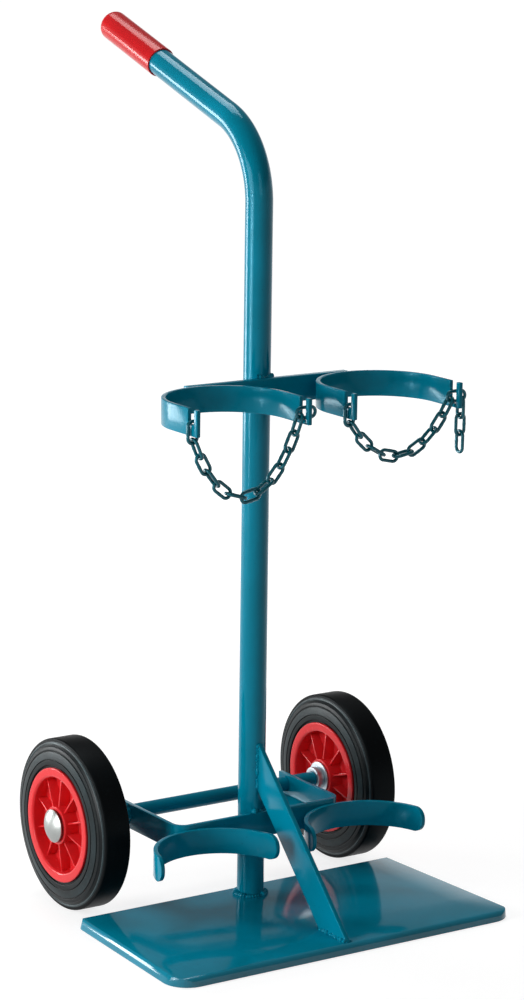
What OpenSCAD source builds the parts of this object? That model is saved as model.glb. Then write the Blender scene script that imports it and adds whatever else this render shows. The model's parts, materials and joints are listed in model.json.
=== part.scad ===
// Trolley for two upright round loads: a bent tube column with a sleeve grip,
// two pairs of cradles, a pressed base plate, a two-wheel axle and two chains.
// Millimetres, +Z up, the front faces -Y, +X is to the right seen from the front.

/* [Column and handle] */
// Outer diameter of the column tube
tube_d = 32; // [28:0.5:40]
// Wall thickness of the column tube
tube_wall = 2.5; // [1.5:0.5:4]
// Height above the floor where the handle bend begins
bend_start_z = 829; // [760:1:900]
// Centre-line radius of the handle bend
bend_radius = 100; // [60:1:130]
// Turn of the handle bend, backwards from upright, in degrees
bend_turn = 71.5; // [50:0.5:88]
// Straight tube after the bend, up to its end inside the grip
handle_straight = 264; // [200:0.5:340]

/* [Handle grip] */
// Length of the grip sleeve with its closed end
grip_len = 120; // [90:1:160]
// Wall thickness of the grip sleeve
grip_wall = 1.8; // [1:0.1:4]
// Edge rounding of the closed end of the grip
grip_round = 9; // [3:0.5:12]

/* [Base plate] */
// Reach of the plate in front of the column axis
plate_front = 213; // [195:0.5:260]
// Reach of the plate behind the column axis
plate_back = 28; // [20:0.5:32]
// Width of the plate along its back edge
plate_width_back = 444; // [420:1:456]
// Width of the plate along its front edge
plate_width_front = 470; // [458:1:500]
// Height of the plate's upper face above the floor
plate_h = 10; // [9.5:0.5:16]
// Sheet thickness of the plate
plate_sheet = 3; // [2:0.5:4]
// Rounding of the front edge, where the sheet turns down
plate_front_roll = 8.5; // [5:0.5:9]
// Rounding of the side and back edges, where the sheet turns down
plate_side_roll = 5; // [3:0.5:7]
// Plan rounding of the front corners
plate_corner_front = 30; // [12:1:60]
// Plan rounding of the back corners
plate_corner_back = 15; // [6:1:30]

/* [Upper cradles] */
// Distance between the centres of the two cradles
cradle_spacing = 207; // [196:0.5:230]
// Inner diameter of the upper cradles
cradle_bore = 141; // [120:0.5:146]
// Thickness of the upper cradle band
cradle_t = 5; // [3:0.5:7]
// Height of the upper cradle band
cradle_h = 30; // [25:0.5:40]
// Height of the lower edge of the upper cradles above the floor
cradle_z = 602; // [480:1:700]
// Slot centre in front of the cradle centre
slot_ahead = 40; // [38:0.5:60]
// Width of the chain slots
slot_w = 12; // [6:0.5:12]
// Length of the post in front of each slot
post_len = 6.5; // [6:0.5:20]
// Height of the band left under the hook slots
hook_floor = 4.5; // [4:0.5:5]
// Thickness of the upper cross bar
bar_t = 10; // [5:0.5:14]
// Cross bar end past the centre of each cradle
bar_past = 6; // [0:0.5:30]

/* [Axle frame and brace] */
// Leg length of the angle section
angle_leg = 30; // [22:0.5:32]
// Thickness of the angle section
angle_t = 5; // [3:0.5:7]
// Width across the axle frame
frame_w = 231; // [190:1:280]
// Outer bend radius of the frame corners
frame_bend = 18; // [10:0.5:25]
// Inner corner radius of the horizontal leg
frame_inner_bend = 25; // [5:1:35]
// Frame arms past the axle centre
arm_past_axle = 14; // [12:0.5:40]
// Axle centre above the lower edge of the frame
axle_rise = 17.5; // [16.5:0.5:20]
// Thickness of the lower cradle band
lower_t = 5; // [3:0.5:7]
// Height of the lower cradle band
lower_h = 30; // [20:0.5:40]
// Ends of the lower cradle band short of the cradle centre
lower_short = 5.5; // [2:0.5:30]
// Corner rounding of the lower cradle ends
lower_round = 14; // [2:0.5:14]
// Lower cradle below the lower edge of the frame
lower_drop = 5; // [0:0.5:10]
// Width of the brace bar
brace_w = 40; // [20:0.5:46]
// Thickness of the brace bar
brace_t = 6; // [3:0.5:10]
// Lower edge of the brace on the column, above the frame
brace_above = 27; // [10:0.5:29]

/* [Axle and wheels] */
// Diameter of the axle
axle_d = 18; // [14:0.5:20]
// Axle centre behind the column axis
axle_back = 93; // [82:0.5:140]
// Distance between the middle planes of the wheels
track = 374; // [360:1:420]
// Diameter of the tyres
wheel_d = 203; // [196:1:216]
// Tyres above the floor when the plate stands on it
wheel_lift = 1; // [0.5:0.5:5]
// Width of the tyres at their flanks
tyre_w = 46; // [42:0.5:54]
// Outer diameter of the rim lips
rim_d = 135.4; // [124:0.2:140]
// Height of the rim lips above the tyre seat
lip_h = 5.2; // [3:0.1:7]
// Thickness of the rim lips
lip_t = 3.5; // [2:0.1:5]
// Wall thickness of the rim barrel
barrel_t = 6; // [2.5:0.1:7]
// Thickness of the rim web
web_t = 5; // [3:0.5:8]
// Number of ribs on each side of the rim
rib_count = 10; // [6:1:14]
// Thickness of the rim ribs
rib_t = 2.2; // [1.5:0.1:4]
// Length of the hub
hub_len = 50; // [48:0.5:60]
// Outer diameter of the hub
hub_d = 45; // [36:0.5:52]
// Wall thickness of the bush in the hub
bush_wall = 3; // [2:0.1:4]
// Width of the tyres at the edges of the tread
tread_w = 34; // [28:0.5:40]
// Rounding of the tread edges
tyre_shoulder = 5.5; // [2:0.5:8]

/* [Axle hardware] */
// Diameter of the inner washers
inner_washer_d = 39; // [28:0.5:44]
// Thickness of the washers
washer_t = 2; // [1.5:0.1:3]
// Diameter of the axle collars
collar_d = 28; // [24:0.5:34]
// Length of the axle collars
collar_len = 9; // [5:0.5:16]
// Diameter of the outer washers
outer_washer_d = 32; // [26:0.5:34]
// Diameter of the hub caps
cap_d = 39; // [34:0.5:46]
// Height of the dome of the hub caps
cap_dome = 6.5; // [4:0.5:10]
// Sheet thickness of the hub caps
cap_sheet = 1.2; // [0.8:0.1:2]

/* [Chains] */
// Wire diameter of the chain links
wire_d = 4; // [3:0.1:4]
// Inner length of the chain links
link_len = 20.6; // [20:0.1:26]
// Number of hanging links in the left chain
left_hanging = 11; // [9:2:13]
// Number of hanging links in the right chain
right_hanging = 9; // [9:2:13]
// Number of links in the tail of the right chain
tail_links = 3; // [1:1:4]
// Hook link centre outwards of the cradle band
hook_shift = 2.4; // [2.2:0.1:2.6]

/* [Clearances] */
// Gap at welded seats
weld_gap = 0.2; // [0.1:0.05:0.3]
// Gap of sleeves, tyres and washers on what carries them
seat_gap = 0.1; // [0.05:0.05:0.2]
// Running clearance of the bush on the axle, on the radius
run_gap = 0.08; // [0.02:0.01:0.1]
// End play between the hub and its washers
end_play = 0.5; // [0.3:0.1:1]
// Play between neighbouring chain links
link_play = 0.6; // [0.5:0.05:0.7]
// Gap of a chain link over the slot bottom
slot_seat = 0.3; // [0.3:0.05:0.5]
// Side play of a chain link over the cradle band
link_side_play = 1.3; // [1.3:0.1:1.6]
// Lower edge of the band over the centre of the end link's lower bow
end_rise = 2.4; // [2.2:0.1:2.8]

/* [Hidden] */
$fn = 96;
// Overshoot of cutting shapes
cut = 1;
steel = "#00708c";
red = "#c81e24";
rubber = "#1b1c1e";
zinc = "#b9bec4";
chain_steel = "#0b5468";

// Column, handle and grip
tube_r = tube_d / 2;
bend_end_y = bend_radius * (1 - cos(bend_turn));
// Turn of the bend that is trimmed off square
bend_trim = 5;
grip_bore_r = tube_r + seat_gap;
grip_r = grip_bore_r + grip_wall;
grip_start = handle_straight + grip_round - grip_len;

// Base plate
plate_flare = atan((plate_width_front - plate_width_back) / 2 / (plate_front + plate_back));
plate_side = cos(plate_flare) * plate_width_front / 2 - sin(plate_flare) * plate_front;
plate_least_round = 0.5;
corner_steps = 12;

// Cradles, cross bar and frame
cradle_x = cradle_spacing / 2;
cradle_r_in = cradle_bore / 2;
cradle_r_out = cradle_r_in + cradle_t;
bar_back_y = -tube_r - weld_gap;
bar_front_y = bar_back_y - bar_t;
cradle_y = bar_front_y - weld_gap - cradle_r_out;
leg_len = slot_ahead + slot_w / 2 + post_len;
frame_front_y = bar_back_y - angle_t;
lower_r_out = -cradle_y + frame_front_y - weld_gap;
lower_r_in = lower_r_out - lower_t;
axle_r = axle_d / 2;
axle_z = wheel_d / 2 + wheel_lift;
frame_z = axle_z - axle_rise;
frame_back_y = axle_back + arm_past_axle;
lower_z = frame_z - lower_drop;
brace_z = frame_z + angle_leg + brace_above;
brace_slant = brace_w * sqrt(2);
brace_foot_z = plate_h + weld_gap;

// Wheels and axle hardware, measured outwards from the middle plane of a wheel
tyre_r = wheel_d / 2;
lip_r = rim_d / 2;
seat_r = lip_r - lip_h;
barrel_r = seat_r - barrel_t;
rim_past_tyre = 1;
rim_w = tyre_w + 2 * rim_past_tyre;
hub_r = hub_d / 2;
bush_r_in = axle_r + run_gap;
bush_r_out = bush_r_in + bush_wall;
bore_r = bush_r_out + seat_gap;
rib_hub_drop = 4;
rib_rim_drop = 7;
rib_bite = 1;
bead_w = rim_w - 2 * lip_t - 2 * seat_gap;
tyre_seat_r = seat_r + seat_gap;
bead_gap = 3;
ring_step = (tyre_r - lip_r) / 10;
ring_depth = 1.2;
ring_line_r = lip_r + 2.7 * ring_step;
flank_drop = 9;
flank_r = tyre_r - tyre_shoulder - flank_drop;
washer_r_in = axle_r + seat_gap;
inner_face = -hub_len / 2 - end_play;
collar_face = inner_face - washer_t - seat_gap;
outer_face = hub_len / 2 + end_play;
cap_face = outer_face + washer_t + seat_gap;
cap_skirt = 1.5;
cap_r = cap_d / 2;
cap_curve = (cap_r * cap_r + cap_dome * cap_dome) / (2 * cap_dome);
cap_socket_wall = 2.5;
axle_end = track / 2 + cap_face + cap_skirt + cap_dome / 2;

// Chains
wire_r = wire_d / 2;
link_w = cradle_t + 2 * link_side_play;
link_bow = (link_w + wire_d) / 2;
link_straight = link_len - link_w;
link_pull = link_bow - wire_d - link_play;
rods = [link_straight + 2 * link_bow, link_straight + 2 * link_pull];
seat_drop = sqrt(pow(link_w / 2 - slot_seat, 2) - pow(cradle_t / 2, 2));
end_bow_z = cradle_z - end_rise;
slot_floor_z = end_bow_z + link_straight + seat_drop;
slot_y = cradle_y - slot_ahead;
leg_mid = cradle_r_in + cradle_t / 2;
hook_floor_z = cradle_z + hook_floor;
hook_z = hook_floor_z + slot_seat + wire_r + link_bow;
search_steps = 30;
settle_steps = 6;
slope_limit = 9;
bend_limit = 3;
first_guess = [-2, 0.4];

// The frame's origin is under the middle of the whole object
grip_tip_y = bend_end_y + handle_straight * sin(bend_turn)
    + (grip_r - grip_round) * cos(bend_turn) + grip_round;
middle_y = (grip_tip_y - plate_front) / 2;

module placed() {
    translate([0, -middle_y, 0])
        children();
}

// Rods and revolved shapes

module tube_section() {
    difference() {
        circle(tube_r);
        circle(tube_r - tube_wall);
    }
}

module on_handle(along) {
    translate([0, bend_radius, bend_start_z])
        rotate([90, 0, -90])
            rotate([0, 0, bend_turn])
                translate([bend_radius, 0, 0])
                    rotate([-90, 0, 0])
                        translate([0, 0, along])
                            children();
}

module ring(r_in, r_out, from, to) {
    rotate_extrude()
        translate([r_in, from])
            square([r_out - r_in, to - from]);
}

// Column and handle

module column_tube() {
    color(steel) {
        translate([0, 0, plate_h])
            linear_extrude(bend_start_z - plate_h)
                tube_section();
        difference() {
            translate([0, bend_radius, bend_start_z])
                rotate([90, 0, -90])
                    rotate_extrude(angle = bend_turn + bend_trim)
                        translate([bend_radius, 0])
                            tube_section();
            on_handle(0)
                cylinder(r = tube_d, h = tube_d);
        }
        on_handle(0)
            linear_extrude(handle_straight)
                tube_section();
    }
}

module handle_grip() {
    color(red)
        on_handle(grip_start)
            rotate_extrude()
                difference() {
                    union() {
                        square([grip_r, grip_len - grip_round]);
                        square([grip_r - grip_round, grip_len]);
                        intersection() {
                            translate([grip_r - grip_round, grip_len - grip_round])
                                circle(grip_round);
                            square([grip_r, grip_len]);
                        }
                    }
                    square([grip_bore_r, grip_len - grip_round]);
                }
}

// Base plate

function pan_corner(y, r, inset, from, to) = [
    for (i = [0:corner_steps])
        let (a = from + (to - from) * i / corner_steps)
        [(plate_side - inset - r - sin(plate_flare) * y) / cos(plate_flare) + r * cos(a), y + r * sin(a)]
];

function pan_right(inset) = let (
        rf = max(plate_corner_front - inset, plate_least_round),
        rb = max(plate_corner_back - inset, plate_least_round)
    ) concat(
        pan_corner(inset - plate_front + rf, rf, inset, -90, plate_flare),
        pan_corner(plate_back - inset - rb, rb, inset, plate_flare, 90)
    );

function pan_outline(inset) = let (right = pan_right(inset), last = len(right) - 1)
    concat(right, [for (i = [last:-1:0]) [-right[i].x, right[i].y]]);

module rounded_top(w, h, low, r_first, r_last) {
    translate([0, low])
        square([w / 2, h - low - r_first]);
    translate([w / 2, low])
        square([w / 2, h - low - r_last]);
    translate([r_first, low])
        square([w - r_first - r_last, h - low]);
    translate([r_first, h - r_first])
        circle(r_first);
    translate([w - r_last, h - r_last])
        circle(r_last);
}

module pan_side(inset, low) {
    roll = max(plate_side_roll - inset, plate_least_round);
    rotate([0, 0, plate_flare])
        translate([plate_side - inset - 2 * plate_width_front, plate_front, 0])
            rotate([90, 0, 0])
                linear_extrude(3 * plate_front)
                    rounded_top(2 * plate_width_front, plate_h - inset, low, roll, roll);
}

module pan_body(inset, low) {
    intersection() {
        translate([0, 0, low])
            linear_extrude(plate_h - inset - low)
                polygon(pan_outline(inset));
        translate([-plate_width_front, inset - plate_front, 0])
            rotate([90, 0, 90])
                linear_extrude(2 * plate_width_front)
                    rounded_top(plate_front + plate_back - 2 * inset, plate_h - inset, low,
                        max(plate_front_roll - inset, plate_least_round),
                        max(plate_side_roll - inset, plate_least_round));
        pan_side(inset, low);
        mirror([1, 0, 0])
            pan_side(inset, low);
    }
}

module base_plate() {
    color(steel)
        difference() {
            pan_body(0, 0);
            pan_body(plate_sheet, -cut);
        }
}

// Cross bar and cradles

module upper_crossbar() {
    color(steel)
        translate([-cradle_x - bar_past, bar_front_y, cradle_z])
            cube([cradle_spacing + 2 * bar_past, bar_t, cradle_h]);
}

module upper_cradle(side) {
    color(steel)
        translate([side * cradle_x, cradle_y, cradle_z])
            difference() {
                union() {
                    rotate_extrude(angle = 180)
                        translate([cradle_r_in, 0])
                            square([cradle_t, cradle_h]);
                    for (s = [-1, 1])
                        translate([s * leg_mid - cradle_t / 2, -leg_len, 0])
                            cube([cradle_t, leg_len, cradle_h]);
                }
                translate([-cradle_r_out - cut, -slot_ahead - slot_w / 2, slot_floor_z - cradle_z])
                    cube([cradle_r_out, slot_w, cradle_h]);
                translate([cut, -slot_ahead - slot_w / 2, hook_floor])
                    cube([cradle_r_out, slot_w, cradle_h]);
            }
}

module upper_cradle_left() {
    upper_cradle(-1);
}

module upper_cradle_right() {
    upper_cradle(1);
}

module lower_side_view() {
    square([2 * lower_r_out, lower_h - 2 * lower_round]);
    translate([lower_round, -lower_round])
        square([2 * lower_r_out, lower_h]);
    for (z = [0, lower_h - 2 * lower_round])
        translate([lower_round, z])
            circle(lower_round);
}

module lower_cradle(side) {
    color(steel)
        translate([side * cradle_x, cradle_y, lower_z])
            intersection() {
                ring(lower_r_in, lower_r_out, -cut, lower_h + cut);
                translate([-lower_r_out - cut, lower_short, lower_round])
                    rotate([90, 0, 90])
                        linear_extrude(2 * lower_r_out + 2 * cut)
                            lower_side_view();
            }
}

module lower_cradle_left() {
    lower_cradle(-1);
}

module lower_cradle_right() {
    lower_cradle(1);
}

// Axle frame, brace and axle

module frame_outline(inset, r) {
    half = frame_w / 2 - inset;
    front = frame_front_y + inset;
    translate([-half, front + r])
        square([2 * half, frame_back_y - front - r + inset]);
    translate([r - half, front])
        square([2 * half - 2 * r, r]);
    for (s = [-1, 1])
        translate([s * (half - r), front + r])
            circle(r);
}

module axle_frame() {
    color(steel)
        difference() {
            translate([0, 0, frame_z])
                linear_extrude(angle_leg)
                    intersection() {
                        frame_outline(0, frame_bend);
                        translate([-frame_w, frame_front_y - cut])
                            square([2 * frame_w, frame_back_y - frame_front_y + cut]);
                    }
            translate([0, 0, frame_z + angle_t])
                linear_extrude(angle_leg)
                    frame_outline(angle_t, frame_bend - angle_t);
            translate([0, 0, frame_z - cut])
                linear_extrude(angle_leg)
                    frame_outline(angle_leg, frame_inner_bend);
            translate([0, 0, frame_z - cut])
                cylinder(r = tube_r + weld_gap, h = angle_leg + 2 * cut);
            translate([-frame_w / 2 - cut, axle_back, axle_z])
                rotate([0, 90, 0])
                    cylinder(r = axle_r + seat_gap, h = frame_w + 2 * cut);
        }
}

module brace() {
    top = brace_z + brace_slant;
    color(steel)
        translate([-brace_t / 2, bar_back_y, 0])
            rotate([90, 0, 90])
                linear_extrude(brace_t)
                    polygon([
                        [0, brace_z],
                        [0, top],
                        [brace_foot_z - top, brace_foot_z],
                        [brace_foot_z - brace_z, brace_foot_z]
                    ]);
}

module axle() {
    color(steel)
        translate([-axle_end, axle_back, axle_z])
            rotate([0, 90, 0])
                cylinder(r = axle_r, h = 2 * axle_end);
}

// Wheels and axle hardware

module at_wheel(side) {
    translate([side * track / 2, axle_back, axle_z])
        rotate([0, side * 90, 0])
            children();
}

module tyre(side) {
    color(rubber)
        at_wheel(side)
            rotate_extrude()
                difference() {
                    union() {
                        translate([tyre_seat_r, -bead_w / 2])
                            square([lip_r + bead_gap - tyre_seat_r, bead_w]);
                        polygon([
                            [lip_r + bead_gap, -tyre_w / 2],
                            [flank_r, -tyre_w / 2],
                            [tyre_r - tyre_shoulder, -tread_w / 2],
                            [tyre_r - tyre_shoulder, tread_w / 2],
                            [flank_r, tyre_w / 2],
                            [lip_r + bead_gap, tyre_w / 2]
                        ]);
                        translate([flank_r, tyre_shoulder - tread_w / 2])
                            square([tyre_r - flank_r, tread_w - 2 * tyre_shoulder]);
                        for (s = [-1, 1])
                            translate([tyre_r - tyre_shoulder, s * (tread_w / 2 - tyre_shoulder)])
                                circle(tyre_shoulder);
                    }
                    for (s = [-1, 1])
                        translate([ring_line_r, s * tyre_w / 2])
                            square([ring_depth, 2 * ring_depth], center = true);
                }
}

module tyre_left() {
    tyre(-1);
}

module tyre_right() {
    tyre(1);
}

module rim(side) {
    color(red)
        at_wheel(side) {
            rotate_extrude() {
                translate([bore_r, -hub_len / 2])
                    square([hub_r - bore_r, hub_len]);
                translate([hub_r - rib_bite, -web_t / 2])
                    square([barrel_r - hub_r + 2 * rib_bite, web_t]);
                translate([barrel_r, -rim_w / 2])
                    square([barrel_t, rim_w]);
                for (s = [-1, 1])
                    translate([barrel_r, s * (rim_w - lip_t) / 2 - lip_t / 2])
                        square([lip_r - barrel_r, lip_t]);
            }
            for (i = [0:rib_count - 1])
                rotate([90, 0, 360 * i / rib_count])
                    translate([0, 0, -rib_t / 2])
                        linear_extrude(rib_t)
                            polygon([
                                [hub_r - rib_bite, rib_hub_drop - hub_len / 2],
                                [barrel_r + rib_bite, rib_rim_drop - rim_w / 2],
                                [barrel_r + rib_bite, rim_w / 2 - rib_rim_drop],
                                [hub_r - rib_bite, hub_len / 2 - rib_hub_drop]
                            ]);
        }
}

module rim_left() {
    rim(-1);
}

module rim_right() {
    rim(1);
}

module bush(side) {
    color(zinc)
        at_wheel(side)
            ring(bush_r_in, bush_r_out, -hub_len / 2, hub_len / 2);
}

module bush_left() {
    bush(-1);
}

module bush_right() {
    bush(1);
}

module inner_collar(side) {
    color(zinc)
        at_wheel(side)
            ring(washer_r_in, collar_d / 2, collar_face - collar_len, collar_face);
}

module inner_collar_left() {
    inner_collar(-1);
}

module inner_collar_right() {
    inner_collar(1);
}

module inner_washer(side) {
    color(zinc)
        at_wheel(side)
            ring(washer_r_in, inner_washer_d / 2, inner_face - washer_t, inner_face);
}

module inner_washer_left() {
    inner_washer(-1);
}

module inner_washer_right() {
    inner_washer(1);
}

module outer_washer(side) {
    color(zinc)
        at_wheel(side)
            ring(washer_r_in, outer_washer_d / 2, outer_face, outer_face + washer_t);
}

module outer_washer_left() {
    outer_washer(-1);
}

module outer_washer_right() {
    outer_washer(1);
}

module cap_dome_profile(inset) {
    intersection() {
        translate([0, cap_dome - cap_curve])
            circle(cap_curve - inset);
        square([cap_r, cap_dome]);
    }
}

module hub_cap(side) {
    color(zinc)
        at_wheel(side)
            translate([0, 0, cap_face]) {
                rotate_extrude() {
                    translate([cap_r - cap_sheet, 0])
                        square([cap_sheet, cap_skirt]);
                    translate([0, cap_skirt])
                        difference() {
                            cap_dome_profile(0);
                            cap_dome_profile(cap_sheet);
                        }
                    translate([washer_r_in, 0])
                        square([cap_socket_wall, cap_skirt + cap_dome / 2]);
                }
            }
}

module hub_cap_left() {
    hub_cap(-1);
}

module hub_cap_right() {
    hub_cap(1);
}

// Chains: a hanging run of links follows the curve whose slope grows evenly

function heading(t) = [1, t] / sqrt(1 + t * t);

function reach(n, ab) = [for (i = [0:n - 1]) rods[i % 2]]
    * [for (i = [0:n - 1]) heading(ab[0] + ab[1] * i)];

function find_start(n, b, rise, lo, hi, k) = let (m = (lo + hi) / 2)
    k == 0 ? m
    : reach(n, [m, b]).y < rise ? find_start(n, b, rise, m, hi, k - 1)
    : find_start(n, b, rise, lo, m, k - 1);

function find_curve(n, run, rise, lo, hi, k) = let (
        b = (lo + hi) / 2,
        a = find_start(n, b, rise, -b * n - slope_limit, slope_limit, search_steps)
    )
    k == 0 ? [a, b]
    : reach(n, [a, b]).x > run ? find_curve(n, run, rise, b, hi, k - 1)
    : find_curve(n, run, rise, lo, b, k - 1);

function run_start(ab, from) = from + link_pull * heading(ab[0]);

function run_end(n, ab, to) = to - link_pull * heading(ab[0] + ab[1] * (n - 1));

function settle(n, from, to, ab, k) = let (
        span = run_end(n, ab, to) - run_start(ab, from)
    )
    k == 0 ? ab
    : settle(n, from, to, find_curve(n, span.x, span.y, 0, bend_limit, search_steps), k - 1);

function end_bow(side) = [side * cradle_x - leg_mid, end_bow_z];

function hook_centre(side) = [side * cradle_x + leg_mid + hook_shift, hook_z];

function hook_bow(side) = hook_centre(side) - [link_straight / 2, 0];

module chain_link() {
    for (s = [-1, 1])
        translate([-link_straight / 2, s * link_bow, 0])
            rotate([0, 90, 0])
                cylinder(r = wire_r, h = link_straight);
    for (turn = [0, 180])
        rotate([0, 0, turn])
            translate([link_straight / 2, 0, 0])
                rotate([0, 0, -90])
                    rotate_extrude(angle = 180)
                        translate([link_bow, 0])
                            circle(wire_r);
}

module link_at(p, pitch_up, roll) {
    translate([p.x, slot_y, p.y])
        rotate([0, -pitch_up, 0])
            rotate([roll, 0, 0])
                chain_link();
}

module chain_end_link(side) {
    color(chain_steel)
        link_at(end_bow(side) + [0, link_straight / 2], 90, 90);
}

module chain_loop(side, n) {
    ab = settle(n, end_bow(side), hook_bow(side), first_guess, settle_steps);
    start = run_start(ab, end_bow(side));
    color(chain_steel)
        for (i = [0:n - 1]) {
            t = ab[0] + ab[1] * i;
            joint = i == 0 ? start : start + reach(i, ab);
            link_at(joint + heading(t) * rods[i % 2] / 2, atan(t), 90 * (i % 2));
        }
}

module chain_hook_link(side) {
    color(chain_steel)
        link_at(hook_centre(side), 0, 90);
}

module chain_tail(side, n) {
    top = hook_centre(side) + [link_straight / 2, -link_pull - rods[0] / 2];
    color(chain_steel)
        for (i = [0:n - 1])
            link_at(top - [0, i * (rods[0] + rods[1]) / 2], 90, 90 * (i % 2));
}

module chain_left_end_link() {
    chain_end_link(-1);
}

module chain_left_loop() {
    chain_loop(-1, left_hanging);
}

module chain_left_hook_link() {
    chain_hook_link(-1);
}

module chain_right_end_link() {
    chain_end_link(1);
}

module chain_right_loop() {
    chain_loop(1, right_hanging);
}

module chain_right_hook_link() {
    chain_hook_link(1);
}

module chain_right_tail() {
    chain_tail(1, tail_links);
}

placed() base_plate();
placed() column_tube();
placed() handle_grip();
placed() upper_crossbar();
placed() upper_cradle_left();
placed() upper_cradle_right();
placed() axle_frame();
placed() lower_cradle_left();
placed() lower_cradle_right();
placed() brace();
placed() axle();
placed() tyre_left();
placed() tyre_right();
placed() rim_left();
placed() rim_right();
placed() bush_left();
placed() bush_right();
placed() inner_collar_left();
placed() inner_collar_right();
placed() inner_washer_left();
placed() inner_washer_right();
placed() outer_washer_left();
placed() outer_washer_right();
placed() hub_cap_left();
placed() hub_cap_right();
placed() chain_left_end_link();
placed() chain_left_loop();
placed() chain_left_hook_link();
placed() chain_right_end_link();
placed() chain_right_loop();
placed() chain_right_hook_link();
placed() chain_right_tail();
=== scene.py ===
"""Dresses a packed hand trolley with two cradles: enamelled frame, wheels, chains, welds, white studio."""
import json
import math

import bmesh
import bpy
from bpy.props import FloatProperty, FloatVectorProperty, IntProperty, PointerProperty
from bpy.types import Operator, Panel, PropertyGroup
from mathutils import Matrix, Vector


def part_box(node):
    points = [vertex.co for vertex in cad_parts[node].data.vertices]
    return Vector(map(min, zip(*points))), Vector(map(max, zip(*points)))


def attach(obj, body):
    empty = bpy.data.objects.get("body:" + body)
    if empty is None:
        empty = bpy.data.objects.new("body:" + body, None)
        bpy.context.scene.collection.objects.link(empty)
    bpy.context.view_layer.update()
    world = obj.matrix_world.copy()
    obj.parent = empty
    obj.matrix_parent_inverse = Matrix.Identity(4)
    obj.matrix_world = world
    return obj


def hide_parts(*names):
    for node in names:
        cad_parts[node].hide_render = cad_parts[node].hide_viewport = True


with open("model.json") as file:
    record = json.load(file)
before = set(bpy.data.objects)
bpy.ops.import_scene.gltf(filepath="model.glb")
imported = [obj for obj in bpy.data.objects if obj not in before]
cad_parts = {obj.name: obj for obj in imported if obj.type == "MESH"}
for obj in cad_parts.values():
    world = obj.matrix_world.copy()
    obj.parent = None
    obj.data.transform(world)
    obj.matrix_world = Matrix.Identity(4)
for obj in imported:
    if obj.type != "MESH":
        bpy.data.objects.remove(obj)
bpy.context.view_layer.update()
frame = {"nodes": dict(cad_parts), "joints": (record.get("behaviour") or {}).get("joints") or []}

bl_info = {
    "name": "Twin Cradle Trolley",
    "version": (1, 0, 0),
    "blender": (4, 5, 0),
    "location": "View3D > Sidebar > Trolley",
    "description": "Builds the visible pieces of a trolley with two cradles around its packed solids",
    "category": "Add Mesh",
}

JOINTS = {joint["name"]: joint for joint in frame["joints"]}
AXLE_Y, AXLE_Z = JOINTS["wheel_left_spin"]["pos_m"][1:]
SIDES = ("left", "right")
ROOT = "trolley"
MM = 0.001
FULL_TURN = 2.0 * math.pi

# Distances in metres within which points count as one
WELD = 1e-6
NODE_WELD = 2e-6
POLE = 1e-7

# Angles in degrees past which an edge stays sharp
CREASE = 40
WHEEL_CREASE = 35
BAR_CREASE = 32
RIB_CREASE = 30


# Sizes and colours


def length(label, words, millimetres):
    return FloatProperty(name=label, description=words, default=millimetres * MM, unit="LENGTH", precision=5)


def angle(label, words, degrees):
    return FloatProperty(name=label, description=words, default=math.radians(degrees), subtype="ANGLE")


def number(label, words, value):
    return FloatProperty(name=label, description=words, default=value)


def colour(label, words, value):
    return FloatVectorProperty(name=label, description=words, default=value, subtype="COLOR", size=3,
                               min=0.0, max=1.0)


class TrolleyColours(PropertyGroup):
    enamel: colour("Enamel", "Paint of the welded frame", (0.0, 0.25, 0.38))
    enamel_deep: colour("Deep enamel", "Paint where it lies thicker", (0.0, 0.2, 0.295))
    chain: colour("Chain", "Paint of the chains", (0.0, 0.12, 0.155))
    grip: colour("Grip", "Plastic of the handle grip", (0.62, 0.012, 0.016))
    rim: colour("Rim", "Plastic of the wheel rims", (0.74, 0.024, 0.03))
    rubber: colour("Rubber", "Rubber of the tyres", (0.004, 0.0045, 0.005))
    # Blue-grey of the tyre side walls: partly bloom, partly painted highlight where the lamps glance off them
    bloom_and_sheen: colour("Bloom", "Grey bloom on the side walls of the tyres", (0.07, 0.115, 0.128))
    zinc: colour("Zinc", "Plating of the collars and washers", (0.5, 0.56, 0.6))
    bright: colour("Bright metal", "Polish of the hub caps", (0.38, 0.4, 0.39))
    bush: colour("Bush", "Plastic of the wheel bushes", (0.32, 0.32, 0.31))


class TrolleyFrameSizes(PropertyGroup):
    edge: length("Edge rounding", "Rounding of the bars' rolled edges", 0.9)
    plate_edge: length("Plate edge", "Rounding of the plate's cut edges", 0.7)
    plate_lean: angle("Plate lean", "Lean of the plate's side flanges", 17.0)
    plate_flange: length("Plate flange", "Width beside the plate's edges that leans", 12)
    plate_taper: number("Plate taper", "How much each side of the plate draws in for its length", 0.054)
    crown_slope: number("Crown slope", "Slope of the plate's face at its edges", 0.09)
    crown_side: length("Side crown", "Width of the slope at the plate's sides", 45)
    crown_front: length("Front crown", "Width of the slope at the plate's front", 70)
    bead: length("Weld bead", "Half width of the weld beads", 2)
    ripple: length("Weld ripple", "Spacing of the ripples of the weld beads", 3.2)
    tube: length("Tube", "Radius of the column tube", 16)
    bend_start: length("Bend start", "Height where the handle bend begins", 829)
    bend_radius: length("Bend radius", "Centre-line radius of the handle bend", 100)
    bend_turn: angle("Bend turn", "Turn of the handle bend from upright", 71.5)
    handle: length("Handle", "Straight tube from the bend into the grip", 264)
    grip_length: length("Grip length", "Length of the grip sleeve", 120)
    grip_radius: length("Grip radius", "Outer radius of the grip sleeve", 17.9)
    grip_round: length("Grip rounding", "Edge rounding of the grip's closed end", 9)


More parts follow.
